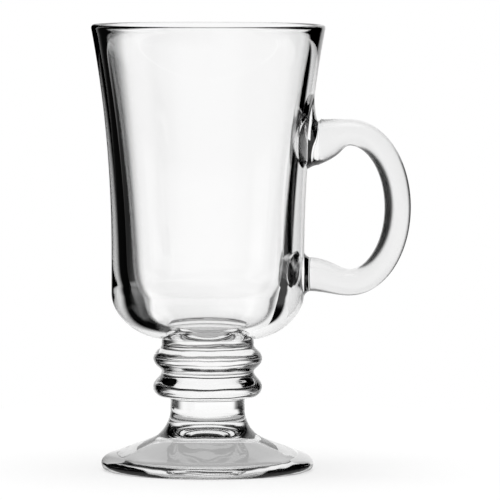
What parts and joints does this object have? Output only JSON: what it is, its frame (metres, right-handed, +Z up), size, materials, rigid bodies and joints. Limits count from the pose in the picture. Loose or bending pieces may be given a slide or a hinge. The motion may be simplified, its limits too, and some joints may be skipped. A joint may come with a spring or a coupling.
{
  "type": "coffee glass",
  "caption": "Clear footed coffee glass for hot drinks: a flared thick-walled bowl with a C-shaped side handle, on rounded knops, a short neck and a wide sloped foot.",
  "frame": {"origin": "on the glass's own axis, on the table plane", "axes": "+Z up along the glass's axis, +X from the axis towards the handle, +Y square to the handle's plane"},
  "size_m": [0.1091, 0.0798, 0.152],
  "materials": {
    "clear_glass": "clear colourless fire-polished pressed glass"
  },
  "bodies": {
    "root": {"foot": "clear_glass", "neck": "clear_glass", "lower_knop": "clear_glass", "upper_knop": "clear_glass", "bowl": "clear_glass", "upper_boss": "clear_glass", "lower_boss": "clear_glass", "handle": "clear_glass"}
  },
  "joints": []
}
